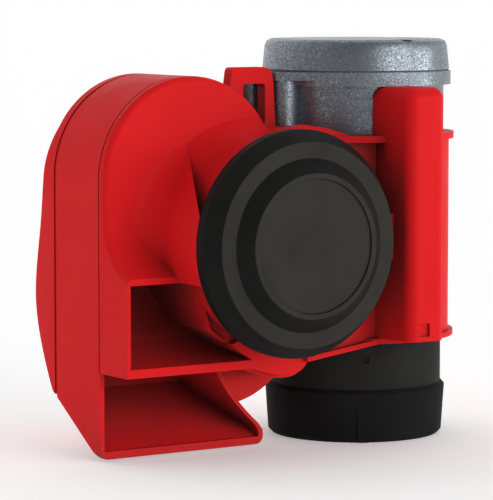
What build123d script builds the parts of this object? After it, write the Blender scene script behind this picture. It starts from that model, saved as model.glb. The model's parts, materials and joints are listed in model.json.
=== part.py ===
from build123d import *
import os
from math import acos, atan2, cos, degrees, hypot, radians, sin

# Compact electric air horn. Two trumpets are coiled side by side in a moulded housing, which is
# carried on a sleeve round the barrel of its own compressor.
# Millimetres. The compressor's axis is Z, its foot stands on Z 0, and the front of the horn is -Y.

# ---- Fits ----
seat_gap = 0.3        # between curved faces of fixed pieces
slip = 0.1            # between a piece and the bore or recess that locates it
press = 0.01          # between the shaft and what is pressed on it
running = 0.03        # between the shaft and its bearings
past = 1.0            # how far a cut runs past the face it opens
outside = 150.0       # beyond every part of the horn

# ---- Compressor barrel ----
case_radius = 23.0
case_wall = 1.4
cap_foot_step = 0.3
cap_rim_step = 1.1
cap_shelf_step = 0.2
cap_height = 12.9
cap_lip = 1.0
cap_wall = 1.8
cap_foot_chamfer = 1.0
cap_shelf_depth = 1.0
cap_cone_depth = 3.0
spigot_height = 4.1
rib_width = 2.9
rib_foot = 0.2
rib_height = 12.0
rib_proud = 0.6
rib_azimuth = -120.0
case_mark_azimuth = -118.0
case_mark_foot = 21.2
case_mark_size = 1.7
case_mark_depth = 0.5

# ---- Motor ----
brush_plate_thickness = 2.0
yoke_length = 50.0
yoke_wall = 1.6
magnet_thickness = 4.0
magnet_length = 28.0
magnet_arc = 130.0
armature_air = 0.67
armature_length = 24.0
armature_slots = 8
armature_slot_width = 3.2
armature_slot_depth = 6.0
armature_slot_roof = 1.0
commutator_radius = 6.0
commutator_length = 8.0
commutator_cut = 0.5
commutator_cut_depth = 0.8
winding_lower_height = 3.5
winding_upper_height = 5.0
winding_set_back = 1.4
winding_side_set_back = 0.4
winding_bore_gap = 2.0
shaft_radius = 2.5
shaft_foot = 3.0
bearing_radius = 5.0
bearing_height = 4.5
bearing_boss_wall = 2.0
brush_width = 4.0
brush_height = 4.6
brush_length = 6.0
brush_air = 0.3
brush_holder_wall = 0.8
brush_holder_set_back = 2.0
brush_plate_bore_gap = 1.5
spring_thickness = 0.4
spring_foot = 3.0
blade_width = 6.3
blade_thickness = 0.8
blade_reach = 9.0
blade_pitch = 14.0
blade_level = 8.0
blade_azimuth = -30.0
blade_pad = 1.2
blade_root = 4.0

# ---- Pump ----
case_length = 44.1
pump_floor = 5.9
pump_wall = 3.2
plate_thickness = 2.0
top_plate_thickness = 2.5
liner_wall = 5.3
rotor_height = 12.8
rotor_offset = 1.4
rotor_tip_gap = 0.1
rotor_end_gap = 0.1
rotor_set_back = 1.0
vane_count = 5
vane_thickness = 2.0
vane_depth = 7.0
vane_foot_gap = 0.3
vane_side_gap = 0.05
vane_set_back = 0.1
shoulder_step = 0.5
flange_step = 1.85
flange_height = 3.6
head_height = 8.0
head_foot_step = 0.4
head_draft = 0.6
head_edge = 1.8
head_wall = 2.8
head_roof = 3.0
head_edge_bulge = 0.3
gasket_thickness = 0.4
gasket_set_back = 0.2
head_screws = 3
head_screw_offset = 1.7
head_screw_radius = 1.2
head_screw_head = 2.1
head_screw_head_height = 1.6
head_screw_sink = 2.4
head_screw_length = 14.0
head_screw_key = 1.1
head_screw_web = 0.5
head_screw_start = 30.0
filter_bore = 4.0
intake_slots = 5
intake_azimuth = 90.0
intake_pitch = 18.0
intake_slot_rise = 1.5
intake_slot_width = 4.0
intake_slot_height = 1.6
outlet_rise = 9.0
outlet_radius = 3.0
outlet_bore = 1.8
outlet_reach = 5.0
seal_section = 1.1
seal_depth = 1.4
seal_pocket_depth = 1.6

# ---- Ear of the pump body, screwed down on the housing ----
ear_thickness = 2.1
ear_plan = [(0, -20.5), (-21.0, -14.2), (-30.5, -6.5), (-33.8, 8.0), (-30.5, 12.6), (0, 22.0)]
ear_corner = 3.0
ear_bosses = [(-25.8, -3.5, 4.2), (-29.5, 8.0, 4.0)]
ear_screw_radius = 1.6
ear_screw_head = 2.7
ear_screw_head_height = 2.2
ear_screw_grip = 7.0
ear_screw_key = 1.4
ear_screw_web = 0.7
ear_hole_spare = 0.5

# ---- Sleeve that holds the barrel ----
sleeve_wall = 1.9
sleeve_foot = 26.5
sleeve_rise = 4.9
collar_proud = 1.3
collar_top_height = 1.7
collar_foot_height = 1.4

# ---- Air duct down the sleeve's front ----
duct_left = -9.9
duct_right = 2.0
duct_front = -38.0
duct_foot = 28.2
duct_head_rise = 0.1
duct_wall = 1.8
duct_edge = 3.0
duct_cavity_depth = 9.0
duct_mark_x = -5.0
duct_mark_z = 31.2
duct_mark_width = 3.2
duct_mark_height = 3.4
duct_mark_depth = 0.8
air_port_radius = 2.5
air_port_y = -27.0
air_neck_wall = 1.5
air_neck_half = 6.0

# ---- Coil of the two trumpets ----
face_front = -12.1
face_rear = 17.5
parting_front = -9.0
parting_rear = 13.0
coil_edge = 1.7
rear_edge = 1.5
joint_depth = 0.4
joint_front_width = 0.5
joint_rear_width = 1.1
coil_left = -85.1
arch_x = -59.1
arch_z = 70.8
arch_radius = 26.0
belly_x = -48.5
belly_z = 36.0
belly_radius = 24.3
coil_wall = 1.7
web_front = 1.2
web_rear = 2.8
coil_hollow_right = 10.0
passage_turns = [
    (-42.75, 55.14, 3.0), (-50.0, 49.0, 3.2), (-49.5, 38.0, 3.6), (-41.0, 29.5, 4.2),
    (-33.0, 33.0, 4.8), (-32.4, 45.0, 5.4), (-33.2, 60.0, 6.0), (-38.0, 73.0, 6.8),
    (-48.0, 83.0, 7.6), (-60.0, 86.0, 8.6), (-70.5, 79.0, 9.8), (-73.0, 67.0, 10.4),
    (-73.0, 52.0, 10.4)]
transfer_x = -52.0
transfer_z = 68.0
transfer_radius = 2.2

# ---- Upper mouth, at the front ----
mouth_y = -22.57
mouth_top = 47.4
mouth_floor = 24.9
mouth_wall = 1.1
mouth_plate = 2.2
mouth_roof = 1.6
flare_top = 62.0
flare_reach_power = 2.2
flare_drop_power = 1.15
mouth_floor_line = [(-12.0, 28.6), (-3.0, 36.0)]
mouth_throat = 46.0
mouth_roof_right = -62.6
mouth_rim_right = -46.9
mouth_rim_knee_x = -60.5
mouth_rim_knee_z = 33.5
mouth_rim_top_x = -64.8
rim_thickness = 1.2
rim_proud = 2.0

# ---- Lower mouth, set back under the upper one ----
low_mouth_y = -9.6
low_mouth_foot = 0.7
low_mouth_wall = 2.0
low_flare_wall = 1.4
low_mouth_corner = 2.2
low_mouth_foot_line = 1.5
low_mouth_lip = 0.5
low_mouth_floor_edge = 1.2
low_flare_line = [(-52.0, 32.0), (-49.3, 21.0), (-44.0, 12.8), (-37.6, 6.3)]
low_flare_toe = (-36.2, 4.4)
low_flare_foot_x = -36.0
low_flare_top_x = -62.0
low_ceiling_line = [(-0.5, 34.0), (-5.5, 25.6)]
low_throat = 46.0
low_hollow_head = 66.0
nose_head = 19.0
bulge_top = 85.0
bulge_line = [(1.3, 71.0), (3.0, 58.5), (5.7, 38.1), (1.8, 24.5), (-2.8, 15.6)]

# ---- Lobe beside the lip ----
lobe_line = [(-48.4, 22.7), (-42.7, 21.0), (-37.5, 20.2), (-33.6, 20.9), (-31.3, 22.8)]
lobe_right = -31.0
lobe_head = 33.0
lobe_shoulder = (-54.0, 29.4)
lobe_rim = 0.8
lobe_rim_set_back = 1.6

# ---- Bowls and diaphragm covers ----
bowl_x = -42.75
bowl_z = 55.14
bowl_neck = 26.5
neck_waist = 25.0
neck_sweep = 20.0
neck_foot_radius = 30.6
flank_radius = 28.8
flank_cove = 6.5
flank_coves = [(114.0, 0.45), (128.0, 0.65), (142.0, 0.9), (158.0, 1.0), (180.0, 1.0), (202.0, 1.0)]
crease_start = 128.0
crease_end = 164.0
crease_heading = (0.55, 0.83, -0.09)
flank_right = 8.0
flank_foot_drop = 1.5
bowl_rim = -33.0
chamber_radius = 22.0
chamber_floor_wall = 2.6
chamber_seat = 1.0
pilot_radius = 26.6
pilot_height = 2.0
throat_outer = 5.0
throat_bore = 3.4
seal_thickness = 0.8
diaphragm_thickness = 0.4
cover_radius = 28.8
cover_side = 3.0
cover_bevel_radius = 25.87
cover_bevel_depth = 4.3
cover_flat_radius = 21.75
cover_plateau_radius = 18.2
cover_plateau_proud = 3.2
cover_recess_radius = 16.8
cover_recess = 0.5
cover_wall = 1.8
cover_cone_set_back = 1.2
mirror_y = 2.0

# ---- Bridge between the bowls and the sleeve ----
bridge_ledge = 83.2
bridge_rim = 1.0
bridge_rim_width = 1.2
bridge_rim_run = 3.0
bridge_shoulder_x = -37.0
bridge_blend_x = -49.8
bridge_blend_drop = 3.9
bridge_step_x = -22.0
bridge_step_end_x = -17.0
bridge_ledge_x = -25.0
bridge_rim_x = -32.0
ledge_reach = 5.0
bridge_foot_left = 23.4
bridge_foot_right = 26.5
bridge_rib = 1.3
bridge_rib_proud = 1.5

# ---- Mounting loop ----
loop_front = -7.0
loop_thickness = 3.5
loop_left = -46.5
loop_right = -30.3
loop_foot = 80.0
loop_top = 98.6
loop_corner = 3.2
loop_left_corner = 1.2
loop_left_lean = 2.6
loop_right_lean = 1.2
loop_window_corner = 0.8
loop_window_x = -37.2
loop_window_z = 88.8
loop_window_width = 6.8
loop_window_height = 11.0

# ---- Levels that follow from the sizes above ----
case_foot = cap_height + cap_lip
case_bore = case_radius - case_wall
cap_foot_radius = case_radius + cap_foot_step
cap_rim_radius = case_radius + cap_rim_step
shoulder_radius = case_radius + shoulder_step
flange_radius = shoulder_radius + flange_step
head_foot_radius = flange_radius - head_foot_step
head_top_radius = head_foot_radius - head_draft
pump_bore = case_radius - pump_wall
rotor_radius = pump_bore - liner_wall
head_room_radius = pump_bore - head_wall
head_screw_circle = pump_bore + head_screw_offset
spigot_radius = case_bore - slip
brush_plate_level = case_foot + spigot_height
yoke_foot = brush_plate_level + brush_plate_thickness
yoke_head = yoke_foot + yoke_length
yoke_radius = case_bore - seat_gap
case_head = case_foot + case_length
pump_floor_foot = yoke_head + slip
pump_floor_top = pump_floor_foot + pump_floor
rotor_foot = pump_floor_top + plate_thickness + rotor_end_gap
liner_foot = pump_floor_top + plate_thickness
liner_height = rotor_height + 2 * rotor_end_gap
sleeve_top = pump_floor_top + sleeve_rise
outlet_level = liner_foot + outlet_rise
top_plate_foot = liner_foot + liner_height
top_plate_top = top_plate_foot + top_plate_thickness
flange_top = top_plate_top + flange_height
flange_foot = flange_top - flange_height
duct_head = flange_foot + duct_head_rise
head_foot = flange_top + gasket_thickness
head_top = head_foot + head_height
head_screw_seat = head_top - head_screw_sink - head_screw_head_height
liner_radius = pump_bore - slip
liner_bore = rotor_radius + rotor_offset + rotor_tip_gap
sleeve_bore = case_radius + slip
sleeve_radius = sleeve_bore + sleeve_wall
collar_radius = sleeve_radius + collar_proud
commutator_foot = yoke_foot + seat_gap
winding_foot = commutator_foot + commutator_length
armature_foot = winding_foot + winding_lower_height
armature_head = armature_foot + armature_length
magnet_foot = armature_foot - (magnet_length - armature_length) / 2
magnet_outer = yoke_radius - yoke_wall - running
magnet_inner = magnet_outer - magnet_thickness
armature_radius = magnet_inner - armature_air
winding_radius = armature_radius - winding_set_back
shaft_head = rotor_foot + rotor_height - rotor_set_back
bridge_front = mouth_y
flange_clear = flange_top + ear_bosses[0][2]
case_room = case_bore - slip
bulge_rear = face_rear + max(step for step, level in bulge_line)
duct_middle = (duct_left + duct_right) / 2
diaphragm_seat = bowl_rim - pilot_height - seal_thickness
clamp_seat = diaphragm_seat - diaphragm_thickness


# ---- Drawing helpers ----
def closed(points):
    """A flat face inside a closed run of straight edges."""
    return make_face(Polyline(*points, close=True))


def disc_at(x, y, radius):
    """A flat round face."""
    return Pos(x, y) * Circle(radius)


def belt(first, second):
    """The face inside a belt drawn tight round two circles, each (x, y, radius)."""
    x1, y1, r1 = first
    x2, y2, r2 = second
    heading = atan2(y2 - y1, x2 - x1)
    lean = acos((r1 - r2) / hypot(x2 - x1, y2 - y1))
    corners = []
    for side in (1, -1):
        angle = heading + side * lean
        start = (x1 + r1 * cos(angle), y1 + r1 * sin(angle))
        end = (x2 + r2 * cos(angle), y2 + r2 * sin(angle))
        corners += [start, end] if side == 1 else [end, start]
    return disc_at(*first) + disc_at(*second) + closed(corners)


def along_x(face, left, right):
    """Sweep a (Y, Z) face from one X to another."""
    plane = Plane(origin=(left, 0, 0), x_dir=(0, 1, 0), z_dir=(1, 0, 0))
    return extrude(plane * face, amount=right - left)


def along_y(face, front, rear):
    """Sweep an (X, Z) face from one Y to another."""
    plane = Plane(origin=(0, rear, 0), x_dir=(1, 0, 0), z_dir=(0, -1, 0))
    return extrude(plane * face, amount=rear - front)


def along_z(face, low, high):
    """Sweep an (X, Y) face from one Z to another."""
    return extrude(Plane.XY.offset(low) * face, amount=high - low)


def turned_z(points):
    """Turn a closed (radius, Z) profile about the compressor's axis."""
    return revolve(Plane.XZ * closed(points), axis=Axis.Z)


def turned_y(face):
    """Turn an (radius, Y) face about Y, then carry it to the bowls' axis."""
    return Pos(bowl_x, 0, bowl_z) * revolve(face, axis=Axis.Y)


def ring_z(outer, inner, low, high):
    """A plain ring about the compressor's axis."""
    return along_z(Circle(outer) - Circle(inner), low, high)


def ring_y(outer, inner, front, rear):
    """A plain ring about the bowls' axis."""
    face = disc_at(bowl_x, bowl_z, outer) - disc_at(bowl_x, bowl_z, inner)
    return along_y(face, front, rear)


def drum_y(radius, front, rear):
    """A plain drum about the bowls' axis."""
    return along_y(disc_at(bowl_x, bowl_z, radius), front, rear)


def block(x0, x1, y0, y1, z0, z1):
    """A box between two corners."""
    return Pos((x0 + x1) / 2, (y0 + y1) / 2, (z0 + z1) / 2) * Box(x1 - x0, y1 - y0, z1 - z0)


def slab(front, rear):
    """All the room between two planes across Y."""
    return block(-outside, outside, front, rear, -outside, outside)


def around(count, piece, start=0.0):
    """Copies of a piece, evenly turned about the compressor's axis."""
    return [Rot(0, 0, start + 360.0 * i / count) * piece for i in range(count)]


def behind(shape):
    """The mirror image of a front piece, at the rear."""
    return mirror(shape, about=Plane.XZ.offset(-mirror_y))


# ---- Housing: outer forms ----
ARCH = (arch_x, arch_z, arch_radius)
BELLY = (belly_x, belly_z, belly_radius)


def arch_view():
    """Front view of the coil's shell: the arch and what stands under it."""
    return disc_at(*ARCH) + closed([
        (coil_left, arch_z), (arch_x + arch_radius, arch_z), (arch_x + arch_radius, mouth_floor),
        (coil_left, mouth_floor)])


def under_arch():
    """Front view of all that stands under the arch's curve."""
    return disc_at(*ARCH) + closed([
        (coil_left, arch_z), (sleeve_radius, arch_z), (sleeve_radius, low_mouth_foot - past),
        (coil_left, low_mouth_foot - past)])


def soft_block(view, front, rear, soft_face, radius):
    """Block with a soft edge where its outer face meets the arch and the side."""
    solid = along_y(view, front, rear)
    edges = [e for e in solid.edges()
             if abs(e.center().Y - soft_face) < 0.01
             and (e.center().Z > arch_z + 1 or e.center().X < coil_left + 0.5)]
    return fillet(edges, radius)


def flare_sweep(wall, roof):
    """Points of the sweep from the coil's face forward to the mouth, a wall's thickness inside."""
    reach = mouth_y - face_front
    drop = flare_top - mouth_top
    return [(face_front + wall + reach * t ** flare_reach_power,
             flare_top - roof - drop * (1 - (1 - t) ** flare_drop_power))
            for t in (0.0, 0.25, 0.5, 0.75, 1.0)]


def flare_face():
    """Side view of the upper mouth: the face sweeps forward to the mouth plane over the lip."""
    sweep = flare_sweep(0.0, 0.0)
    foot = mouth_floor - mouth_plate
    curve = Spline(*sweep)
    rest = Polyline(sweep[-1], (mouth_y, foot), (parting_front, foot), (parting_front, flare_top),
                    sweep[0])
    return make_face([curve, rest])


def upper_trumpet_outer():
    """The forward mouth, cut from a side view and a front view."""
    foot = mouth_floor - mouth_plate
    view = closed([
        (coil_left, foot), (mouth_rim_right, foot), (mouth_rim_knee_x, mouth_rim_knee_z),
        (mouth_rim_top_x, mouth_top), (mouth_rim_top_x, flare_top), (coil_left, flare_top)])
    solid = along_y(view, mouth_y, parting_front) & along_x(flare_face(), coil_left, mouth_rim_right)
    edges = [e for e in solid.edges()
             if abs(e.center().X - coil_left) < 0.01 and mouth_y < e.center().Y < face_front
             and e.center().Z > mouth_top]
    return fillet(edges, coil_edge - 0.1)


def mouth_flank():
    """Solid ground between the forward mouth's right rim and the drum."""
    view = closed([
        (mouth_rim_top_x, mouth_top), (mouth_rim_knee_x, mouth_rim_knee_z),
        (mouth_rim_right, mouth_floor), (bowl_x, lobe_head), (bowl_x, bowl_z)])
    return along_y(view, mouth_y + rim_proud, parting_front)


def lower_view(inset):
    """Front view of the lower trumpet: its right side flares out to the foot."""
    left = coil_left + inset * mouth_wall / low_flare_wall
    line = [(x - inset, z) for x, z in low_flare_line]
    foot = low_mouth_foot if inset == 0 else low_mouth_foot - past
    toe = Polyline(line[-1], (low_flare_toe[0] - inset, low_flare_toe[1]),
                   (low_flare_foot_x - inset, foot), (left, foot), (left, bulge_top),
                   (low_flare_top_x - inset, bulge_top), line[0])
    face = make_face([Spline(*line), toe])
    corners = [v for v in face.vertices() if v.Y < foot + 0.1]
    return fillet(corners, low_mouth_corner) if inset == 0 else face


def bulge_curve(inset):
    """Rear line of the lower trumpet, from the arch's back down to the heel."""
    line = [(face_rear + step - inset, level) for step, level in bulge_line]
    return Spline((face_rear - rear_edge - inset, bulge_top), *line)


def heel(inset):
    """Lowest point of the bulge, where the floor of the lower trumpet begins."""
    step, level = bulge_line[-1]
    return (face_rear + step - inset, level)


def lower_trumpet_outer():
    """The lower mouth and its back, which bulges behind the coil and ramps down to the mouth."""
    plate = mouth_floor - mouth_plate
    side = make_face([
        bulge_curve(0.0),
        Polyline(heel(0.0), (low_mouth_y + low_mouth_foot_line, low_mouth_foot),
                 (low_mouth_y, low_mouth_foot), (low_mouth_y, plate), (parting_front, plate),
                 (parting_front, bulge_top), (face_rear - rear_edge, bulge_top))])
    view = along_y(lower_view(0.0), low_mouth_y, bulge_rear + past)
    room = along_y(under_arch(), low_mouth_y, bulge_rear + past)
    return view & along_x(side, coil_left, sleeve_radius) & room


def flank_section(angle, cove):
    """Radial section of the drum's left wall, with a cove at its foot."""
    cove_y = face_front - cove
    arc = CenterArc((flank_radius + cove, cove_y), cove, 90, 90)
    rest = Polyline((flank_radius, cove_y), (flank_radius, bowl_rim), (throat_outer, bowl_rim),
                    (throat_outer, parting_front), (flank_radius + cove, parting_front),
                    (flank_radius + cove, face_front))
    turn = radians(angle)
    plane = Plane(origin=(bowl_x, 0, bowl_z), x_dir=(cos(turn), 0, sin(turn)),
                  z_dir=(-sin(turn), 0, cos(turn)))
    return plane * make_face([arc, rest])


def flank():
    """The drum's left wall, whose cove widens towards the mouth; it ends on a slanting crease."""
    body = loft([flank_section(angle, share * flank_cove) for angle, share in flank_coves])
    ends = []
    for angle, y in ((crease_start, face_front), (crease_end, bowl_rim)):
        ends.append(Vector(bowl_x + flank_radius * cos(radians(angle)), y,
                           bowl_z + flank_radius * sin(radians(angle))))
    run = ends[1] - ends[0]
    normal = run.cross(Vector(*crease_heading))
    if normal.X < 0:
        normal = normal * -1
    cutter = Plane(origin=(ends[0] + ends[1]) / 2, x_dir=run, z_dir=normal) * Box(
        outside, outside, outside, align=(Align.CENTER, Align.CENTER, Align.MIN))
    kept = block(coil_left, bowl_x - flank_right, bowl_rim - past, parting_front,
                 mouth_top - flank_foot_drop, outside)
    return (body & kept) - cutter


def neck():
    """The front bowl's neck, which sweeps out to the coil's face."""
    centre = neck_waist + neck_sweep
    depth = (neck_sweep ** 2 - (centre - neck_foot_radius) ** 2) ** 0.5
    waist_y = face_front - depth
    start = degrees(atan2(depth, neck_foot_radius - centre))
    sweep = CenterArc((centre, waist_y), neck_sweep, start, 180 - start)
    rest = Polyline((neck_waist, waist_y), (bowl_neck, bowl_rim), (0, bowl_rim), (0, parting_front),
                    (neck_foot_radius, parting_front), (neck_foot_radius, face_front))
    return turned_y(make_face([sweep, rest]))


def pilot():
    """The rim that the diaphragm's cover locates on."""
    return ring_y(pilot_radius, chamber_radius + chamber_seat, bowl_rim - pilot_height, bowl_rim)


def bowl_hollow():
    """Air chamber round the throat tube, and the throat's own bore."""
    front = bowl_rim - pilot_height - past
    chamber = ring_y(chamber_radius, throat_outer, front, face_front - chamber_floor_wall)
    bore = drum_y(throat_bore, front, face_front + coil_wall + past)
    mouth = ring_y(chamber_radius + chamber_seat + slip, throat_outer, front, bowl_rim)
    return chamber + bore + mouth


def bridge():
    """Block from the bowls to the sleeve, with a ledge for the pump's ear on top."""
    right = duct_left + past
    view = closed([
        (bowl_x, bridge_foot_left), (lobe_right, bridge_foot_left), (right, bridge_foot_right),
        (right, sleeve_top), (bridge_step_end_x, sleeve_top),
        (bridge_step_x, bridge_ledge - bridge_rim), (bridge_ledge_x, bridge_ledge),
        (bridge_shoulder_x, bridge_ledge), (bridge_blend_x, bridge_ledge - bridge_blend_drop)])
    body = along_y(view, bridge_front, face_rear)
    rib_view = closed([
        (lobe_right - past, bridge_foot_left), (right, bridge_foot_right),
        (right, bridge_foot_right + bridge_rib), (lobe_right - past, bridge_foot_left + bridge_rib)])
    rib = along_y(rib_view, bridge_front - bridge_rib_proud, bridge_front + past)
    rim_view = closed([
        (bridge_shoulder_x, bridge_ledge), (bridge_ledge_x, bridge_ledge),
        (bridge_rim_x, bridge_ledge + bridge_rim),
        (bridge_shoulder_x + bridge_rim_run, bridge_ledge + bridge_rim)])
    rim = along_y(rim_view, bridge_front, bridge_front + bridge_rim_width)
    ledge_plan = closed([
        (bridge_ledge_x, bridge_front), (right, bridge_front - ledge_reach),
        (right, bridge_front + past), (bridge_ledge_x, bridge_front + past)])
    return body + rib + rim + along_z(ledge_plan, sleeve_top - collar_top_height, sleeve_top)


def lobe_block(drop, front):
    """The lobe's outline, let down by a drop and swept back from a front plane."""
    line = [(x, z - drop) for x, z in lobe_line]
    view = make_face([
        Spline(*line),
        Polyline(line[-1], (lobe_right, lobe_line[-1][1] + past), (lobe_right, lobe_head),
                 (bowl_x, lobe_head), lobe_shoulder, line[0])])
    return along_y(view, front, parting_front)


def lobe():
    """Rounded end of the lip under the drum, over a rim that stands a little behind it."""
    return lobe_block(0, mouth_y) + lobe_block(lobe_rim, mouth_y + lobe_rim_set_back)


def loop():
    """Flat loop that the vehicle's bolt passes through."""
    plan = closed([(loop_left, loop_foot), (loop_right, loop_foot),
                   (loop_right - loop_right_lean, loop_top), (loop_left + loop_left_lean, loop_top)])
    top = plan.vertices().sort_by(Axis.Y)[2:].sort_by(Axis.X)
    plan = fillet(top[1], loop_corner)
    left = [v for v in plan.vertices() if v.Y > loop_top - 0.01 and v.X < loop_window_x]
    plan = fillet(left, loop_left_corner)
    window = Pos(loop_window_x, loop_window_z) * RectangleRounded(
        loop_window_width, loop_window_height, loop_window_corner)
    return along_y(plan - window, loop_front, loop_front + loop_thickness)


# ---- Housing: hollows ----
def passage(front, rear):
    """One spiral passage, widening from the throat."""
    view = belt(passage_turns[0], passage_turns[1])
    for first, second in zip(passage_turns[1:], passage_turns[2:]):
        view = view + belt(first, second)
    return along_y(view, front, rear)


def upper_hollow():
    """Inside of the upper trumpet between the spiral and the mouth."""
    back = web_front
    sweep = flare_sweep(coil_wall, mouth_roof)
    floor = Spline((mouth_y, mouth_floor), *mouth_floor_line, (back, mouth_throat))
    side = make_face([
        Spline(*sweep), floor,
        Polyline(sweep[-1], (mouth_y - past, sweep[-1][1]), (mouth_y - past, mouth_floor),
                 (mouth_y, mouth_floor)),
        Polyline((back, mouth_throat), (back, sweep[0][1]), sweep[0])])
    left = coil_left + mouth_wall
    view = closed([
        (left, mouth_floor), (mouth_rim_right - rim_thickness, mouth_floor),
        (mouth_rim_knee_x - rim_thickness, mouth_rim_knee_z),
        (mouth_rim_top_x - rim_thickness, mouth_top), (mouth_roof_right, flare_top),
        (left, flare_top)])
    return along_y(view, mouth_y - past, back) & along_x(side, left, bowl_x)


def lower_hollow():
    """Inside of the lower trumpet between the spiral and the mouth."""
    plate = mouth_floor - mouth_plate
    floor_z = low_mouth_foot + low_mouth_wall
    front = low_mouth_y - past
    right = bowl_x + coil_hollow_right
    lip = (low_mouth_y - low_mouth_lip, plate)
    ceiling = Spline((web_rear, low_throat), *low_ceiling_line, lip)
    side = make_face([
        bulge_curve(coil_wall), ceiling,
        Polyline(lip, (front, plate), (front, floor_z), (low_mouth_y + low_mouth_floor_edge, floor_z),
                 heel(coil_wall)),
        Polyline((face_rear - rear_edge - coil_wall, bulge_top), (web_rear, bulge_top),
                 (web_rear, low_throat))])
    view = along_y(lower_view(low_flare_wall), front, bulge_rear)
    limit = block(coil_left, right, front, bulge_rear, 0, low_hollow_head)
    return view & along_x(side, coil_left, right) & limit


# ---- Housing: the three shells ----
def coil():
    """Everything of the housing but the sleeve and its duct, outside form and hollows."""
    front = soft_block(arch_view(), face_front, parting_front, face_front, coil_edge)
    inner_view = disc_at(arch_x, arch_z, arch_radius - coil_edge) + closed([
        (coil_left + coil_edge, arch_z), (arch_x + arch_radius, arch_z),
        (arch_x + arch_radius, mouth_floor), (coil_left + coil_edge, mouth_floor)])
    sweep = neck() & (along_y(inner_view, bowl_rim, parting_front)
                      + drum_y(bowl_neck, bowl_rim, parting_front))
    middle_view = disc_at(*ARCH) + belt(ARCH, BELLY) + closed([
        (coil_left, arch_z), (belly_x, arch_z), (belly_x, mouth_floor - mouth_plate),
        (coil_left, mouth_floor - mouth_plate)])
    middle = along_y(middle_view, parting_front, parting_rear)
    rear = soft_block(middle_view, parting_rear, face_rear, face_rear, rear_edge)
    solid = front + middle + rear + upper_trumpet_outer() + lower_trumpet_outer()
    solid = solid + sweep + flank() + mouth_flank() + lobe() + bridge() + loop()
    solid = solid + behind(drum_y(bowl_neck, bowl_rim, parting_front))
    solid = solid + pilot() + behind(pilot())
    solid = solid - passage(face_front + coil_wall, web_front)
    solid = solid - passage(web_rear, face_rear - coil_wall)
    solid = solid - upper_hollow() - lower_hollow() - bowl_hollow() - behind(bowl_hollow())
    feed = along_y(disc_at(transfer_x, transfer_z, transfer_radius),
                   face_front - chamber_floor_wall - past,
                   2 * mirror_y - face_front + chamber_floor_wall + past)
    return solid - feed - ear_screw_holes()


def ear_screw_holes():
    """Pilot holes under the pump's ear."""
    return [Pos(x, y, 0) * along_z(Circle(ear_screw_radius + running),
                                   bridge_ledge - ear_screw_grip - ear_hole_spare,
                                   bridge_ledge + past)
            for x, y, _ in ear_bosses]


def sleeve_room():
    """Space kept clear round the sleeve, its collars and the pump's shoulder."""
    room = along_z(Circle(sleeve_radius + seat_gap), 0, sleeve_top)
    for low, height in ((sleeve_foot, collar_foot_height),
                        (sleeve_top - collar_top_height, collar_top_height)):
        room = room + along_z(Circle(collar_radius + seat_gap), low - seat_gap,
                              low + height + seat_gap)
    return room + along_z(Circle(shoulder_radius + seat_gap), sleeve_top, flange_clear)


def air_duct():
    """Box duct on the sleeve's front, with soft outer edges."""
    body = block(duct_left, duct_right, duct_front, -case_bore, duct_foot, duct_head)
    edges = [e for e in body.edges()
             if e.center().Y < duct_front + 0.01 or e.center().Z > duct_head - 0.01]
    edges = [e for e in edges if e.center().Y < -case_radius and e.center().Z > duct_foot + past]
    body = fillet(edges, duct_edge)
    mark = block(duct_mark_x - duct_mark_width / 2, duct_mark_x + duct_mark_width / 2,
                 duct_front - past, duct_front + duct_mark_depth,
                 duct_mark_z - duct_mark_height / 2, duct_mark_z + duct_mark_height / 2)
    air_neck = block(bowl_x + pilot_radius, duct_left + past,
                     air_port_y - air_port_radius - air_neck_wall, bridge_front + past,
                     bowl_z - air_neck_half, bowl_z + air_neck_half)
    return body - mark + air_neck


def duct_hollow():
    """Air space of the duct, the port to the bowl and the hole for the pump's outlet."""
    front = duct_front + duct_wall
    room = block(duct_left + duct_wall, duct_right - duct_wall, front, front + duct_cavity_depth,
                 duct_foot + duct_wall, duct_head - duct_wall)
    port = along_x(disc_at(air_port_y, bowl_z, air_port_radius), bowl_x + throat_outer + past,
                   duct_middle)
    outlet = along_y(disc_at(duct_middle, outlet_level, outlet_radius + slip), front + past, 0)
    pocket = along_y(disc_at(duct_middle, outlet_level, outlet_radius + slip + seal_section),
                     -shoulder_radius - seat_gap - seal_pocket_depth, 0)
    return room + port + outlet + pocket


def joint_line(joint, width, low):
    """Fine groove along a joint plane, round the arch and down the left side."""
    left = coil_left - past
    head = arch_z + 2 * arch_radius
    arc = disc_at(arch_x, arch_z, arch_radius + past) - disc_at(arch_x, arch_z,
                                                                arch_radius - joint_depth)
    arc = arc & closed([(left, arch_z), (loop_left, arch_z), (loop_left, head), (left, head)])
    side = closed([(left, low), (coil_left + joint_depth, low), (coil_left + joint_depth, arch_z),
                   (left, arch_z)])
    return along_y(arc + side, joint - width / 2, joint + width / 2)


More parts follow.
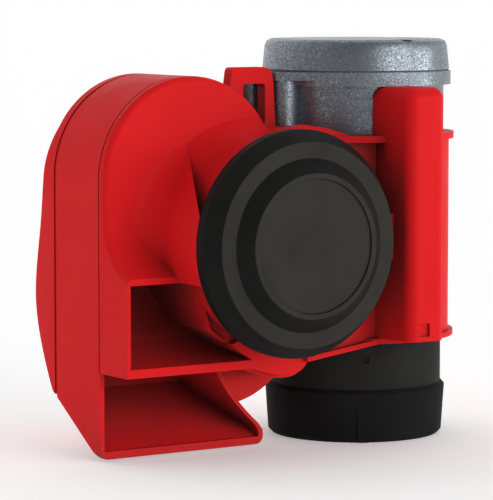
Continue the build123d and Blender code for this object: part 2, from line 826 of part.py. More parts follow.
def shells():
    """Cut the housing at its two joint planes; the sleeve and duct belong to the front shell."""
    body = coil()
    plate = mouth_floor - mouth_plate
    nose = lower_trumpet_outer() & block(coil_left, 0, low_mouth_y, parting_front, 0, plate)
    nose = nose - lower_hollow()
    front = body & slab(-outside, parting_front)
    front = front - block(coil_left - past, lobe_right, low_mouth_y, parting_front, 0, nose_head)
    front = front - nose
    middle = (body & slab(parting_front, parting_rear)) + nose
    rear = body & slab(parting_rear, outside)
    sleeve = ring_z(sleeve_radius, sleeve_bore, sleeve_foot, sleeve_top)
    sleeve = sleeve + ring_z(collar_radius, sleeve_bore, sleeve_foot,
                             sleeve_foot + collar_foot_height)
    sleeve = sleeve + ring_z(collar_radius, sleeve_bore, sleeve_top - collar_top_height, sleeve_top)
    bore = along_z(Circle(sleeve_bore), 0, sleeve_top)
    bore = bore + along_z(Circle(shoulder_radius + seat_gap), sleeve_top, flange_foot)
    bore = bore + along_z(Circle(flange_radius + seat_gap), flange_foot - seat_gap, flange_clear)
    front = front + sleeve + air_duct() - bore - duct_hollow() - bowl_hollow() - ear_screw_holes()
    room = sleeve_room()
    first = joint_line(parting_front, joint_front_width, plate)
    second = joint_line(parting_rear, joint_rear_width, low_mouth_foot)
    return front - first, middle - room - first - second, rear - room - second


# ---- Diaphragms and covers ----
def diaphragm_cover():
    """Black cover: bevelled cup with a raised plateau and a shallow bare recess."""
    edge = bowl_rim - cover_side
    flat = edge - cover_bevel_depth
    top = flat - cover_plateau_proud
    inside = top + cover_wall
    shelf = flat + cover_wall
    return turned_y(closed([
        (cover_radius, bowl_rim), (cover_radius, edge), (cover_bevel_radius, flat),
        (cover_flat_radius, flat), (cover_plateau_radius, top), (cover_recess_radius, top),
        (cover_recess_radius, top + cover_recess), (0, top + cover_recess),
        (0, inside + cover_recess), (cover_recess_radius, inside + cover_recess),
        (cover_flat_radius - cover_cone_set_back, shelf), (chamber_radius + chamber_seat, shelf),
        (chamber_radius + chamber_seat, clamp_seat), (pilot_radius + slip, clamp_seat),
        (pilot_radius + slip, bowl_rim)]))


def diaphragm():
    """Thin steel disc clamped at its edge."""
    return drum_y(pilot_radius, clamp_seat, diaphragm_seat)


def diaphragm_seal():
    """Flat ring between the bowl's rim and the diaphragm."""
    return ring_y(pilot_radius, chamber_radius + chamber_seat, diaphragm_seat,
                  bowl_rim - pilot_height)


# ---- Motor ----
def motor_end_cap():
    """Moulded foot of the compressor, with a bearing boss, a rib and slots for the terminals."""
    inside = cap_foot_radius - cap_wall
    neck_bore = spigot_radius - cap_wall
    cup = turned_z([
        (0, 0), (cap_foot_radius - cap_foot_chamfer, 0), (cap_foot_radius, cap_foot_chamfer),
        (cap_rim_radius, cap_height), (case_radius + cap_shelf_step, case_foot),
        (spigot_radius, case_foot), (spigot_radius, brush_plate_level),
        (neck_bore, brush_plate_level), (neck_bore, case_foot - cap_shelf_depth),
        (inside, case_foot - cap_cone_depth), (inside, cap_wall),
        (bearing_radius + bearing_boss_wall, cap_wall),
        (bearing_radius + bearing_boss_wall, shaft_foot + bearing_height),
        (bearing_radius, shaft_foot + bearing_height), (bearing_radius, shaft_foot),
        (0, shaft_foot)])
    rib = block(-rib_width / 2, rib_width / 2, -cap_foot_radius - rib_proud,
                -cap_foot_radius + past, rib_foot, rib_height)
    cup = cup + Rot(0, 0, rib_azimuth + 90) * rib
    half = blade_pitch / 2 + blade_width / 2 + 2 * blade_pad
    half_height = blade_thickness / 2 + 3 * blade_pad
    pad = block(-half, half, 0, cap_rim_radius + blade_pad, blade_level - half_height,
                blade_level + half_height)
    pad = Rot(0, 0, blade_azimuth) * (pad - along_z(Circle(inside), 0, brush_plate_level))
    return cup + pad - [blade(side, slip / 2) for side in (-1, 1)]


def blade(side, grow=0.0):
    """One flat terminal blade through the end cap's rear wall."""
    x = side * blade_pitch / 2
    body = block(x - blade_width / 2 - grow, x + blade_width / 2 + grow,
                 cap_foot_radius - cap_wall - blade_root,
                 cap_rim_radius + blade_pad + blade_reach,
                 blade_level - blade_thickness / 2 - grow,
                 blade_level + blade_thickness / 2 + grow)
    return Rot(0, 0, blade_azimuth) * body


def motor_case():
    """Drawn steel tube between the end cap and the pump."""
    half = case_mark_size / 2
    mark = block(-half, half, -case_radius - past, -case_radius + case_mark_depth, case_mark_foot,
                 case_mark_foot + case_mark_size)
    tube = ring_z(case_radius, case_bore, case_foot, case_head)
    return tube - Rot(0, 0, case_mark_azimuth + 90) * mark


def brush_at(turn):
    """Carbon block on the commutator's side."""
    start = commutator_radius + brush_air
    body = block(start, start + brush_length, -brush_width / 2, brush_width / 2,
                 yoke_foot + brush_holder_wall, yoke_foot + brush_holder_wall + brush_height)
    return Rot(0, 0, turn) * body


def holder_at(turn):
    """Open-ended box on the brush plate that guides one brush."""
    start = commutator_radius + brush_holder_set_back
    wall = brush_holder_wall
    end = commutator_radius + brush_air + brush_length - slip
    body = block(start, end, -brush_width / 2 - wall - slip,
                 brush_width / 2 + wall + slip, yoke_foot,
                 yoke_foot + 2 * wall + brush_height + slip)
    room = block(start - past, end + past, -brush_width / 2 - slip, brush_width / 2 + slip,
                 yoke_foot + wall, yoke_foot + wall + brush_height + slip)
    return Rot(0, 0, turn) * (body - room)


def spring_at(turn):
    """Leaf spring behind one brush."""
    start = commutator_radius + brush_air + brush_length
    leaf = block(start, start + spring_thickness, -brush_width / 2, brush_width / 2, yoke_foot,
                 yoke_foot + brush_holder_wall + brush_height)
    foot = block(start, start + spring_foot, -brush_width / 2, brush_width / 2, yoke_foot,
                 yoke_foot + spring_thickness)
    return Rot(0, 0, turn) * (leaf + foot)


def armature_core():
    """Slotted stack of laminations pressed on the shaft."""
    plan = Circle(armature_radius) - Circle(shaft_radius + press)
    slot = Pos(armature_radius - armature_slot_depth / 2 - armature_slot_roof, 0) * Rectangle(
        armature_slot_depth, armature_slot_width)
    opening = Pos(armature_radius, 0) * Rectangle(4 * armature_slot_roof, armature_slot_width / 2)
    for i in range(armature_slots):
        plan = plan - Rot(0, 0, 360 / armature_slots * i) * (slot + opening)
    return along_z(plan, armature_foot, armature_head)


def windings():
    """Copper coils: their ends over the core and their sides in its slots."""
    bore = shaft_radius + winding_bore_gap
    lower = ring_z(winding_radius, bore, winding_foot, armature_foot)
    upper = ring_z(winding_radius, bore, armature_head, armature_head + winding_upper_height)
    side = block(armature_radius - armature_slot_depth - armature_slot_roof + slip,
                 winding_radius - winding_side_set_back, -armature_slot_width / 2 + slip,
                 armature_slot_width / 2 - slip, armature_foot - past, armature_head + past)
    return lower + upper + around(armature_slots, side)


def commutator():
    """Copper bars round the shaft."""
    body = ring_z(commutator_radius, shaft_radius + press, commutator_foot, winding_foot)
    cut = block(commutator_radius - commutator_cut_depth, commutator_radius + past,
                -commutator_cut / 2, commutator_cut / 2, commutator_foot - past,
                winding_foot + past)
    return body - around(armature_slots, cut, 180 / armature_slots)


def magnet_at(turn):
    """One curved magnet on the yoke's wall."""
    ring = ring_z(magnet_outer, magnet_inner, magnet_foot, magnet_foot + magnet_length)
    side = outside * cos(radians(magnet_arc / 2)), outside * sin(radians(magnet_arc / 2))
    wedge = closed([(0, 0), (side[0], -side[1]), (outside, -outside), (outside, outside), side])
    return Rot(0, 0, turn) * (ring & along_z(wedge, 0, outside))


def bearing(foot):
    """Plain sintered bearing."""
    return ring_z(bearing_radius - press, shaft_radius + running, foot, foot + bearing_height)


# ---- Pump ----
def pump_body():
    """Cast body: skirt over the motor, shoulder on the sleeve, flange, ear and outlet."""
    body = turned_z([
        (case_radius, case_head), (case_radius, sleeve_top), (shoulder_radius, sleeve_top),
        (shoulder_radius, flange_foot), (flange_radius, flange_foot), (flange_radius, flange_top),
        (pump_bore, flange_top), (pump_bore, pump_floor_top),
        (shaft_radius + seat_gap, pump_floor_top),
        (shaft_radius + seat_gap, pump_floor_foot + bearing_height),
        (bearing_radius, pump_floor_foot + bearing_height), (bearing_radius, pump_floor_foot),
        (case_room, pump_floor_foot), (case_room, case_head)])
    plan = closed(ear_plan)
    plan = fillet(plan.vertices().sort_by(Axis.X)[:3], ear_corner)
    ear = along_z(plan, flange_top - ear_thickness, flange_top)
    for x, y, radius in ear_bosses:
        ear = ear + Pos(x, y, 0) * along_z(Circle(radius), bridge_ledge, flange_top)
    ear = ear - along_z(Circle(shoulder_radius - past), 0, outside)
    outlet = along_y(disc_at(duct_middle, outlet_level, outlet_radius),
                     -shoulder_radius - outlet_reach, -shoulder_radius + outlet_bore)
    outlet_hole = along_y(disc_at(duct_middle, outlet_level, outlet_bore),
                          -shoulder_radius - outlet_reach - past, -pump_bore / 2)
    solid = body + ear + outlet - outlet_hole
    for x, y, _ in ear_bosses:
        solid = solid - Pos(x, y, 0) * along_z(Circle(ear_screw_radius + slip), bridge_ledge - past,
                                               flange_top + past)
        solid = solid - Pos(x, y, 0) * along_z(Circle(ear_screw_head + slip),
                                               flange_top - ear_screw_head_height,
                                               flange_top + past)
    return solid - head_screw_holes(head_screw_radius + running)


def head_screw_holes(radius):
    """Holes on the head screws' circle, deep enough for the screws."""
    hole = along_z(Circle(radius), head_screw_seat - head_screw_length - seat_gap, head_top + past)
    return around(head_screws, Pos(head_screw_circle, 0, 0) * hole, head_screw_start)


def pump_cap():
    """Cast head, hollow for the filter, with a spigot that holds the pump's top plate."""
    wall = turned_z([
        (head_room_radius, top_plate_top), (liner_radius, top_plate_top), (liner_radius, head_foot),
        (head_foot_radius, head_foot), (head_top_radius, head_top - head_edge),
        (head_top_radius - head_edge * head_edge_bulge, head_top - head_edge * head_edge_bulge),
        (head_top_radius - head_edge, head_top), (0, head_top), (0, head_top - head_roof),
        (head_room_radius, head_top - head_roof)])
    slot = block(head_room_radius - past, head_foot_radius + past, -intake_slot_width / 2,
                 intake_slot_width / 2, head_foot + intake_slot_rise,
                 head_foot + intake_slot_rise + intake_slot_height)
    first = intake_azimuth - intake_pitch * (intake_slots - 1) / 2
    slots = [Rot(0, 0, first + intake_pitch * i) * slot for i in range(intake_slots)]
    seat = Pos(head_screw_circle, 0, 0) * along_z(
        Circle(head_screw_head + slip), head_screw_seat, head_top + past)
    seats = around(head_screws, seat, head_screw_start)
    return wall - slots - head_screw_holes(head_screw_radius + slip) - seats


def head_screw():
    """One cap screw, sunk in the head."""
    seat = head_screw_seat
    head = along_z(Circle(head_screw_head) - RegularPolygon(head_screw_key, 6), seat,
                   seat + head_screw_head_height)
    head = head + along_z(Circle(head_screw_head), seat, seat + head_screw_web)
    return Pos(head_screw_circle, 0, 0) * (head + along_z(Circle(head_screw_radius),
                                                          seat - head_screw_length, seat))


def ear_screw(x, y):
    """One screw through the ear into the housing."""
    seat = flange_top - ear_screw_head_height
    web = seat + ear_screw_web
    head = along_z(Circle(ear_screw_head) - RegularPolygon(ear_screw_key, 6), web, flange_top - slip)
    head = head + along_z(Circle(ear_screw_head), seat, web)
    return Pos(x, y, 0) * (head + along_z(Circle(ear_screw_radius), bridge_ledge - ear_screw_grip,
                                          seat))


def pump_liner():
    """Ring whose bore is set off the shaft, so that the rotor's vanes pump."""
    plan = Circle(liner_radius) - Pos(rotor_offset, 0) * Circle(liner_bore)
    port = along_y(disc_at(duct_middle, outlet_level, outlet_bore), -outside, -pump_bore / 2)
    return along_z(plan, liner_foot, top_plate_foot) - port


def rotor():
    """Pump rotor with a slot for each vane."""
    plan = Circle(rotor_radius) - Circle(shaft_radius + press)
    depth = vane_set_back + vane_depth + vane_foot_gap
    slot = Pos(rotor_radius - (depth - past) / 2, 0) * Rectangle(
        depth + past, vane_thickness + 2 * vane_side_gap)
    for i in range(vane_count):
        plan = plan - Rot(0, 0, 360 / vane_count * i) * slot
    return along_z(plan, rotor_foot, rotor_foot + rotor_height)


def vane():
    """One carbon vane, home in its slot."""
    tip = rotor_radius - vane_set_back
    return block(tip - vane_depth, tip, -vane_thickness / 2, vane_thickness / 2, rotor_foot,
                 rotor_foot + rotor_height)


def outlet_seal():
    """Ring seal round the pump's outlet."""
    face = disc_at(duct_middle, outlet_level, outlet_radius + seal_section) - disc_at(
        duct_middle, outlet_level, outlet_radius + press)
    rear = -shoulder_radius - seat_gap - slip
    return along_y(face, rear - seal_depth, rear)


def build():
    """Every node of the horn, by name."""
    front, middle, rear = shells()
    nodes = {"front_housing": front, "middle_band": middle, "rear_housing": rear}
    for name, make in (("diaphragm_cover", diaphragm_cover), ("diaphragm", diaphragm),
                       ("diaphragm_seal", diaphragm_seal)):
        nodes["front_" + name] = make()
        nodes["rear_" + name] = behind(make())
    nodes["motor_case"] = motor_case()
    nodes["motor_end_cap"] = motor_end_cap()
    nodes["terminal_blades"] = [blade(-1), blade(1)]
    nodes["brush_plate"] = ring_z(spigot_radius, commutator_radius + brush_plate_bore_gap,
                                  brush_plate_level, yoke_foot) + holder_at(0) + holder_at(180)
    nodes["carbon_brushes"] = [brush_at(0), brush_at(180)]
    nodes["brush_springs"] = [spring_at(0), spring_at(180)]
    nodes["motor_yoke"] = ring_z(yoke_radius, yoke_radius - yoke_wall, yoke_foot, yoke_head)
    nodes["magnets"] = [magnet_at(90), magnet_at(270)]
    nodes["armature_core"] = armature_core()
    nodes["armature_windings"] = windings()
    nodes["commutator"] = commutator()
    nodes["motor_shaft"] = along_z(Circle(shaft_radius), shaft_foot, shaft_head)
    nodes["lower_bearing"] = bearing(shaft_foot)
    nodes["upper_bearing"] = bearing(pump_floor_foot)
    nodes["pump_body"] = pump_body()
    nodes["pump_lower_plate"] = ring_z(liner_radius, shaft_radius + seat_gap, pump_floor_top,
                                       liner_foot)
    nodes["pump_liner"] = pump_liner()
    nodes["pump_rotor"] = rotor()
    nodes["pump_vanes"] = around(vane_count, vane())
    nodes["pump_upper_plate"] = ring_z(liner_radius, shaft_radius + seat_gap, top_plate_foot,
                                       top_plate_top)
    nodes["intake_filter"] = ring_z(head_room_radius - slip, filter_bore, top_plate_top, head_foot)
    nodes["head_gasket"] = ring_z(head_foot_radius - gasket_set_back, liner_radius + slip, flange_top,
                                  head_foot) - head_screw_holes(head_screw_radius + slip)
    nodes["pump_cap"] = pump_cap()
    nodes["cap_screws"] = around(head_screws, head_screw(), head_screw_start)
    nodes["ear_screws"] = [ear_screw(x, y) for x, y, _ in ear_bosses]
    nodes["outlet_seal"] = outlet_seal()
    return nodes


os.makedirs("parts", exist_ok=True)
for name, shape in build().items():
    solids = shape if isinstance(shape, list) else [shape]
    body = Compound(children=[s for part in solids for s in part.solids()])
    export_step(body, "parts/" + name + ".step")
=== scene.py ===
import json
from math import cos, radians, sin

import bmesh
import bpy
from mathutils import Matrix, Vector

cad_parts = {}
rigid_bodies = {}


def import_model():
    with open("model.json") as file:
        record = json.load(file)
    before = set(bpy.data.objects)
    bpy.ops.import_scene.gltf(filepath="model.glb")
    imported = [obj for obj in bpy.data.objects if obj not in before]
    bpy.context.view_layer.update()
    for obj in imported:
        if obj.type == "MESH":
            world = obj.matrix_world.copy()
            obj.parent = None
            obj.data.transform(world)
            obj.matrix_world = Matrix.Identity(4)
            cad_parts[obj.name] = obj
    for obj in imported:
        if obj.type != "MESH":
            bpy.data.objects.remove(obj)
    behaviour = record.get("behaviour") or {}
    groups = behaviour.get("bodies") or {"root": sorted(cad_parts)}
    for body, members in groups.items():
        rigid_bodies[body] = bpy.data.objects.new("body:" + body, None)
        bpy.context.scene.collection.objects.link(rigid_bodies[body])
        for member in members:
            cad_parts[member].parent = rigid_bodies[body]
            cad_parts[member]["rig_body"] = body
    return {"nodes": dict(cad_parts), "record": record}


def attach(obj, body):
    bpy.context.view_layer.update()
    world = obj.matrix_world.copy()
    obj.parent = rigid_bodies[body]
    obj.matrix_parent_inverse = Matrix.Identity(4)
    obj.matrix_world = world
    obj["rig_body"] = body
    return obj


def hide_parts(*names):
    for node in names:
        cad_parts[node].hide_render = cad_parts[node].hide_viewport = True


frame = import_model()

SCENE = bpy.context.scene
MM = 0.001
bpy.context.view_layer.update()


# ---- Camera, at the photograph's viewing angle ----
IMAGE_HEIGHT = 500
FOCAL_PIXELS = 2880.07
SENSOR = 36.0
CAMERA_PLACE = Vector((-448.80, -627.35, 120.67)) * MM      # fitted to the photograph
CAMERA_YAW = radians(33.414)
CAMERA_PITCH = radians(5.331)
NEAREST_SEEN = 0.05
FARTHEST_SEEN = 200


def make_camera():
    data = bpy.data.cameras.new("camera")
    data.sensor_fit = "AUTO"
    data.sensor_width = SENSOR
    data.lens = FOCAL_PIXELS * SENSOR / IMAGE_HEIGHT
    data.clip_start = NEAREST_SEEN
    data.clip_end = FARTHEST_SEEN
    camera = bpy.data.objects.new("camera", data)
    SCENE.collection.objects.link(camera)
    camera.location = CAMERA_PLACE
    ahead = Vector((sin(CAMERA_YAW) * cos(CAMERA_PITCH),
                    cos(CAMERA_YAW) * cos(CAMERA_PITCH),
                    -sin(CAMERA_PITCH)))
    camera.rotation_mode = "QUATERNION"
    camera.rotation_quaternion = ahead.to_track_quat("-Z", "Y")
    SCENE.camera = camera


# ---- Light and floor ----
SKY_BRIGHT_SIDE = (0.12, 0.985, 0.0)
SKY_DIM = 0.02
SKY_BRIGHT = 1.27
SKY_COLOUR = (1.0, 1.0, 1.0, 1.0)
FLOOR_RADIUS = 60.0
FLOOR_SIDES = 96
FLOOR_COLOUR = (0.92, 0.92, 0.92, 1.0)
FLOOR_GLOW_COLOUR = (1.0, 1.0, 1.0, 1.0)
FLOOR_GLOW = 0.28
FLOOR_ROUGHNESS = 0.9
FLOOR_SPECULAR = 0.1


def sun(name, azimuth, elevation, strength, spread):
    """A soft sun. Its azimuth is counted in degrees from the front towards the right."""
    data = bpy.data.lights.new(name, "SUN")
    data.energy = strength
    data.angle = radians(spread)
    lamp = bpy.data.objects.new(name, data)
    SCENE.collection.objects.link(lamp)
    a, e = radians(azimuth), radians(elevation)
    source = Vector((sin(a) * cos(e), -cos(a) * cos(e), sin(e)))
    lamp.rotation_mode = "QUATERNION"
    lamp.rotation_quaternion = source.to_track_quat("Z", "Y")


def make_sky():
    """Studio surround: bright behind the horn, dim in front, with an even fall between them."""
    world = bpy.data.worlds.new("studio")
    world.use_nodes = True
    nodes, links = world.node_tree.nodes, world.node_tree.links
    heading = nodes.new("ShaderNodeTexCoord").outputs["Generated"]
    along = nodes.new("ShaderNodeVectorMath")
    along.operation = "DOT_PRODUCT"
    along.inputs[1].default_value = SKY_BRIGHT_SIDE
    links.new(heading, along.inputs[0])
    level = nodes.new("ShaderNodeMapRange")
    for name, number in (("From Min", -1.0), ("From Max", 1.0),
                         ("To Min", SKY_DIM), ("To Max", SKY_BRIGHT)):
        level.inputs[name].default_value = number
    links.new(along.outputs["Value"], level.inputs["Value"])
    nodes["Background"].inputs["Color"].default_value = SKY_COLOUR
    links.new(level.outputs["Result"], nodes["Background"].inputs["Strength"])
    SCENE.world = world


def make_light():
    make_sky()
    sun("key", azimuth=19, elevation=5, strength=2.15, spread=48)
    sun("side", azimuth=58, elevation=4, strength=0.80, spread=18)
    SCENE.view_settings.view_transform = "Standard"


def make_floor():
    mesh = bpy.data.meshes.new("floor")
    bm = bmesh.new()
    bmesh.ops.create_circle(bm, cap_ends=True, radius=FLOOR_RADIUS, segments=FLOOR_SIDES)
    bm.to_mesh(mesh)
    bm.free()
    floor = bpy.data.objects.new("floor", mesh)
    SCENE.collection.objects.link(floor)
    paint = bpy.data.materials.new("floor")
    paint.use_nodes = True
    inputs = paint.node_tree.nodes["Principled BSDF"].inputs
    for name, value in (("Base Color", FLOOR_COLOUR), ("Emission Color", FLOOR_GLOW_COLOUR),
                        ("Emission Strength", FLOOR_GLOW), ("Roughness", FLOOR_ROUGHNESS),
                        ("Specular IOR Level", FLOOR_SPECULAR)):
        inputs[name].default_value = value
    mesh.materials.append(paint)


# ---- Materials ----
MIX_AMOUNT, MIX_FIRST, MIX_SECOND = 0, 6, 7     # a Mix node's sockets, where it mixes colours
MIX_RESULT = 2
NOISE_LOW, NOISE_HIGH = 0.3, 0.7                # between which nearly all of a noise lies
OPENNESS_SAMPLES = 8


def scaled(colour, factor):
    return tuple(factor * c for c in colour)


class Paint:
    """A node material built up layer by layer on one Principled shader."""

    def __init__(self, name, roughness, metallic=0.0, specular=0.5):
        self.material = bpy.data.materials.new(name)
        self.material.use_nodes = True
        self.tree = self.material.node_tree
        self.shader = self.tree.nodes["Principled BSDF"]
        self.shader.inputs["Roughness"].default_value = roughness
        self.shader.inputs["Metallic"].default_value = metallic
        self.shader.inputs["Specular IOR Level"].default_value = specular
        self.place = self.tree.nodes.new("ShaderNodeTexCoord").outputs["Object"]
        self.height = None

    def noise(self, size, detail):
        """Noise whose features are about size metres across; returns its value."""
        node = self.tree.nodes.new("ShaderNodeTexNoise")
        node.inputs["Scale"].default_value = 1.0 / size
        node.inputs["Detail"].default_value = detail
        self.tree.links.new(self.place, node.inputs["Vector"])
        return node.outputs["Fac"]

    def grains(self, size):
        """Small grains, size metres across, each with a value of its own."""
        node = self.tree.nodes.new("ShaderNodeTexVoronoi")
        node.inputs["Scale"].default_value = 1.0 / size
        self.tree.links.new(self.place, node.inputs["Vector"])
        return node.outputs["Color"]

    def openness(self, reach):
        """How open a spot lies to its surroundings, within reach metres: low in a recess."""
        node = self.tree.nodes.new("ShaderNodeAmbientOcclusion")
        node.samples = OPENNESS_SAMPLES
        node.inputs["Distance"].default_value = reach
        return node.outputs["AO"]

    def ramp(self, value, *stops):
        """Colour ramp of (position, colour) stops."""
        node = self.tree.nodes.new("ShaderNodeValToRGB")
        line = node.color_ramp
        ends = ((line.elements[0], stops[0]), (line.elements[1], stops[-1]))
        for element, (position, colour) in ends:
            element.position = position
            element.color = (*colour, 1)
        for position, colour in stops[1:-1]:
            line.elements.new(position).color = (*colour, 1)
        self.tree.links.new(value, node.inputs["Fac"])
        return node.outputs["Color"]

    def clouds(self, size, detail, low, high):
        """A colour that drifts from low to high in clouds of about size metres."""
        return self.ramp(self.noise(size, detail), (NOISE_LOW, low), (NOISE_HIGH, high))

    def span(self, value, low, high, start=NOISE_LOW, end=NOISE_HIGH):
        """Map a value from start..end to low..high."""
        node = self.tree.nodes.new("ShaderNodeMapRange")
        for name, number in (("From Min", start), ("From Max", end),
                             ("To Min", low), ("To Max", high)):
            node.inputs[name].default_value = number
        self.tree.links.new(value, node.inputs["Value"])
        return node.outputs["Result"]

    def mix(self, amount, first, second):
        """Colour that goes from first to second as the amount goes from 0 to 1."""
        node = self.tree.nodes.new("ShaderNodeMix")
        node.data_type = "RGBA"
        for socket, value in ((MIX_AMOUNT, amount), (MIX_FIRST, first), (MIX_SECOND, second)):
            if isinstance(value, (int, float)):
                node.inputs[socket].default_value = value
            elif isinstance(value, tuple):
                node.inputs[socket].default_value = (*value, 1)
            else:
                self.tree.links.new(value, node.inputs[socket])
        return node.outputs[MIX_RESULT]

    def colour(self, value):
        self.tree.links.new(value, self.shader.inputs["Base Color"])

    def rough(self, value):
        self.tree.links.new(value, self.shader.inputs["Roughness"])

    def bump(self, value, depth):
        """Lay a relief of that depth, in metres, on the surface."""
        node = self.tree.nodes.new("ShaderNodeBump")
        node.inputs["Strength"].default_value = 1.0
        node.inputs["Distance"].default_value = depth
        self.tree.links.new(value, node.inputs["Height"])
        if self.height is not None:
            self.tree.links.new(self.height, node.inputs["Normal"])
        self.height = node.outputs["Normal"]
        self.tree.links.new(self.height, self.shader.inputs["Normal"])


RED_LOW = (0.665, 0.0110, 0.0135)
RED_HIGH = (0.710, 0.0122, 0.0148)
# Painted shade: the dark brown that the red turns towards in recesses.
RED_PAINTED_SHADE = (0.11, 0.030, 0.027)


def red_plastic():
    """Moulded red: softly uneven, with painted shade that makes it darker and browner in
    recesses, such as deep in the trumpets.
    """
    p = Paint("red_plastic", roughness=0.45, specular=0.04)
    tone = p.clouds(size=0.018, detail=3, low=RED_LOW, high=RED_HIGH)
    # Painted shade: the less open a spot lies, the more its colour turns to the painted shade.
    open_share = p.span(p.openness(reach=0.030), low=0.0, high=1.0, start=0.05, end=0.66)
    p.colour(p.mix(open_share, RED_PAINTED_SHADE, tone))
    p.rough(p.span(p.noise(size=0.006, detail=4), low=0.40, high=0.52))
    p.bump(p.noise(size=0.022, detail=2), depth=0.00016)
    p.bump(p.noise(size=0.0007, detail=3), depth=0.000008)
    return p.material


def black_plastic(name, shade, tint, low, high, specular):
    """Moulded or painted black of that shade, with a roughness from low to high."""
    p = Paint(name, roughness=0.5, specular=specular)
    p.colour(p.clouds(size=0.012, detail=3, low=scaled(tint, shade * 0.90),
                      high=scaled(tint, shade * 1.15)))
    p.rough(p.span(p.noise(size=0.004, detail=4), low, high))
    p.bump(p.noise(size=0.0005, detail=3), depth=0.000012)
    return p.material


ALLOY_GRAINS = ((0.15, (0.104, 0.121, 0.142)), (0.5, (0.168, 0.193, 0.219)),
                (0.88, (0.295, 0.330, 0.364)))
ALLOY_CLOUD_LOW = (0.125, 0.150, 0.173)
ALLOY_CLOUD_HIGH = (0.212, 0.248, 0.280)
ALLOY_CLOUD_SHARE = 0.2


def cast_alloy():
    """Blasted cast metal: its bright grains are its smooth ones, so they glint in the light."""
    p = Paint("cast_alloy", roughness=0.4, metallic=0.75, specular=0.8)
    grain = p.grains(size=0.00027)
    clouds = p.clouds(size=0.009, detail=3, low=ALLOY_CLOUD_LOW, high=ALLOY_CLOUD_HIGH)
    p.colour(p.mix(ALLOY_CLOUD_SHARE, p.ramp(grain, *ALLOY_GRAINS), clouds))
    p.rough(p.span(grain, low=0.53, high=0.26, start=0.15, end=0.88))
    p.bump(p.noise(size=0.0004, detail=2), depth=0.00005)
    p.bump(p.noise(size=0.0022, detail=2), depth=0.00004)
    return p.material


STEEL = (1.0, 1.0, 1.02)


def metal(name, shade, roughness, tint=STEEL):
    """Plain machined or plated metal."""
    p = Paint(name, roughness, metallic=1.0)
    p.colour(p.clouds(size=0.003, detail=4, low=scaled(tint, shade * 0.85),
                      high=scaled(tint, shade * 1.1)))
    p.rough(p.span(p.noise(size=0.0015, detail=3), roughness * 0.85, roughness * 1.2))
    p.bump(p.noise(size=0.0004, detail=2), depth=0.000004)
    return p.material


def matt(name, colour, roughness, grain=0.0006, relief=0.00003):
    """A dull finish with a fine grain: rubber, felt, carbon, ferrite, laminate."""
    p = Paint(name, roughness, specular=0.3)
    p.colour(p.clouds(size=0.004, detail=4, low=scaled(colour, 0.85),
                      high=scaled(colour, 1.12)))
    p.rough(p.span(p.noise(size=grain * 3, detail=2), roughness * 0.9,
                   min(1.0, roughness * 1.1)))
    p.bump(p.noise(size=grain, detail=3), relief)
    return p.material


NEARLY_NEUTRAL = (1.0, 0.99, 0.95)
WARM = (1.0, 0.97, 0.84)
GREENISH = (0.96, 1.0, 0.97)
COOL = (0.97, 0.98, 1.0)
BRASS = (1.0, 0.86, 0.55)
COPPER = (1.0, 0.45, 0.22)
BRONZE = (1.0, 0.72, 0.4)
PAINTS = {
    "red_plastic": red_plastic(),
    "black_plastic": black_plastic("black_plastic", 0.0105, NEARLY_NEUTRAL, 0.46, 0.54, 0.05),
    "case_paint": black_plastic("case_paint", 0.0195, GREENISH, 0.54, 0.62, 0.04),
    "cast_alloy": cast_alloy(),
    "spring_steel": metal("spring_steel", 0.62, 0.25),
    "yoke_steel": metal("yoke_steel", 0.4, 0.4),
    "screw_steel": metal("screw_steel", 0.55, 0.3),
    "seal_rubber": matt("seal_rubber", (0.12, 0.125, 0.13), 0.8),
    "terminal_brass": metal("terminal_brass", 0.7, 0.3, BRASS),
    "insulator": matt("insulator", (0.20, 0.13, 0.06), 0.6),
    "carbon": matt("carbon", (0.04, 0.04, 0.045), 0.5),
    "magnet_ferrite": matt("magnet_ferrite", (0.06, 0.06, 0.065), 0.6),
    "winding_copper": metal("winding_copper", 0.6, 0.35, COPPER),
    "bearing_bronze": metal("bearing_bronze", 0.5, 0.4, BRONZE),
    "rotor_alloy": metal("rotor_alloy", 0.6, 0.35),
    "filter_felt": matt("filter_felt", (0.62, 0.60, 0.55), 0.95, grain=0.0009, relief=0.0002),
}
# Painted reflection: a paler black for a disc's flat faces, standing in for the lamps' gloss on
# them.
DISC_PAINTED_REFLECTION = black_plastic("disc_painted_reflection", 0.031, WARM, 0.62, 0.70, 0.05)
NODE_PAINTS = {"motor_end_cap": black_plastic("cap_plastic", 0.0118, COOL, 0.60, 0.68, 0.025)}
SLOTS = {row["node"]: row["material_slot"] for row in frame["record"]["subparts"]}


# ---- Pieces made from the frame's nodes ----
EDGE_WIDTHS = {     # millimetres by which a node's moulded or cast edges are rounded
    "front_housing": 0.35, "middle_band": 0.35, "rear_housing": 0.35, "motor_end_cap": 0.3,
    "motor_case": 0.15, "pump_body": 0.3, "pump_cap": 0.35}
DISC_EDGE_WIDTHS = {"front_diaphragm_cover": 0.22, "rear_diaphragm_cover": 0.22}
EDGE_SHARE = 0.45           # of a neighbouring facet, which an edge's rounding may take
EDGE_SEGMENTS = 3
SHARP_ANGLE = radians(28)
FLAT_ANGLE = radians(0.4)   # facets that meet at less than this are joined
SAME_POINT = 1e-6           # metres within which two corners are one
FREE_ROOM = 1.0             # metres, for a corner that no smooth edge leaves
FACING = 0.999              # of a unit normal along Y, from where a face looks straight on


def paint_of(node):
    """The material that a node's surface has."""
    return NODE_PAINTS.get(node, PAINTS[SLOTS[node]])


def room_at(vert, sharp):
    """Length of the shortest smooth edge that leaves a corner."""
    lengths = [edge.calc_length() for edge in vert.link_edges if edge not in sharp]
    return min(lengths) if lengths else FREE_ROOM


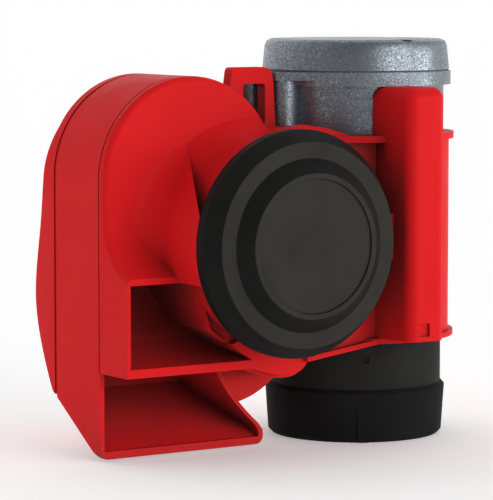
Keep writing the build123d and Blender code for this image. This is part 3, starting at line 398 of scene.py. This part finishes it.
def weigh_edges(bm, width):
    """Give each sharp edge the share of the rounding that its neighbours leave room for."""
    layer = bm.edges.layers.float.new("bevel_weight_edge")
    sharp = {edge for edge in bm.edges
             if edge.is_manifold and edge.calc_face_angle() > SHARP_ANGLE}
    room = {vert: room_at(vert, sharp) for edge in sharp for vert in edge.verts}
    for edge in sharp:
        free = min(room[vert] for vert in edge.verts)
        edge[layer] = min(1.0, EDGE_SHARE * free / width)


def skin_mesh(node, width):
    """A copy of a node's mesh, with its flat facets joined and its sharp edges weighed."""
    bm = bmesh.new()
    bm.from_mesh(frame["nodes"][node].data)
    bmesh.ops.remove_doubles(bm, verts=bm.verts, dist=SAME_POINT)
    bmesh.ops.dissolve_limit(bm, angle_limit=FLAT_ANGLE, verts=bm.verts, edges=bm.edges)
    weigh_edges(bm, width)
    mesh = bpy.data.meshes.new(node + "_skin")
    bm.to_mesh(mesh)
    bm.free()
    for polygon in mesh.polygons:
        polygon.use_smooth = True
    mesh.set_sharp_from_angle(angle=SHARP_ANGLE)
    mesh.materials.clear()
    mesh.materials.append(paint_of(node))
    return mesh


def softened(node, width):
    """Stand a skin with rounded edges in a node's place; width is in millimetres."""
    piece = bpy.data.objects.new(node + "_skin", skin_mesh(node, width * MM))
    SCENE.collection.objects.link(piece)
    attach(piece, frame["nodes"][node]["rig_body"])
    bevel = piece.modifiers.new("edges", "BEVEL")
    bevel.width = width * MM
    bevel.segments = EDGE_SEGMENTS
    bevel.limit_method = "WEIGHT"
    bevel.harden_normals = True
    bevel.use_clamp_overlap = True
    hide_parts(node)
    return piece


def paint_reflection_on_flats(piece):
    """Paint a disc's faces that look straight forward or back a paler colour, a painted
    reflection of the lamps, with a duller roughness.
    """
    materials = piece.data.materials
    materials.append(DISC_PAINTED_REFLECTION)
    for polygon in piece.data.polygons:
        if abs(polygon.normal.y) > FACING:
            polygon.material_index = len(materials) - 1


for node in SLOTS:
    data = frame["nodes"][node].data
    data.materials.clear()
    data.materials.append(paint_of(node))
make_camera()
make_light()
make_floor()
for node, width in EDGE_WIDTHS.items():
    softened(node, width)
for node, width in DISC_EDGE_WIDTHS.items():
    paint_reflection_on_flats(softened(node, width))
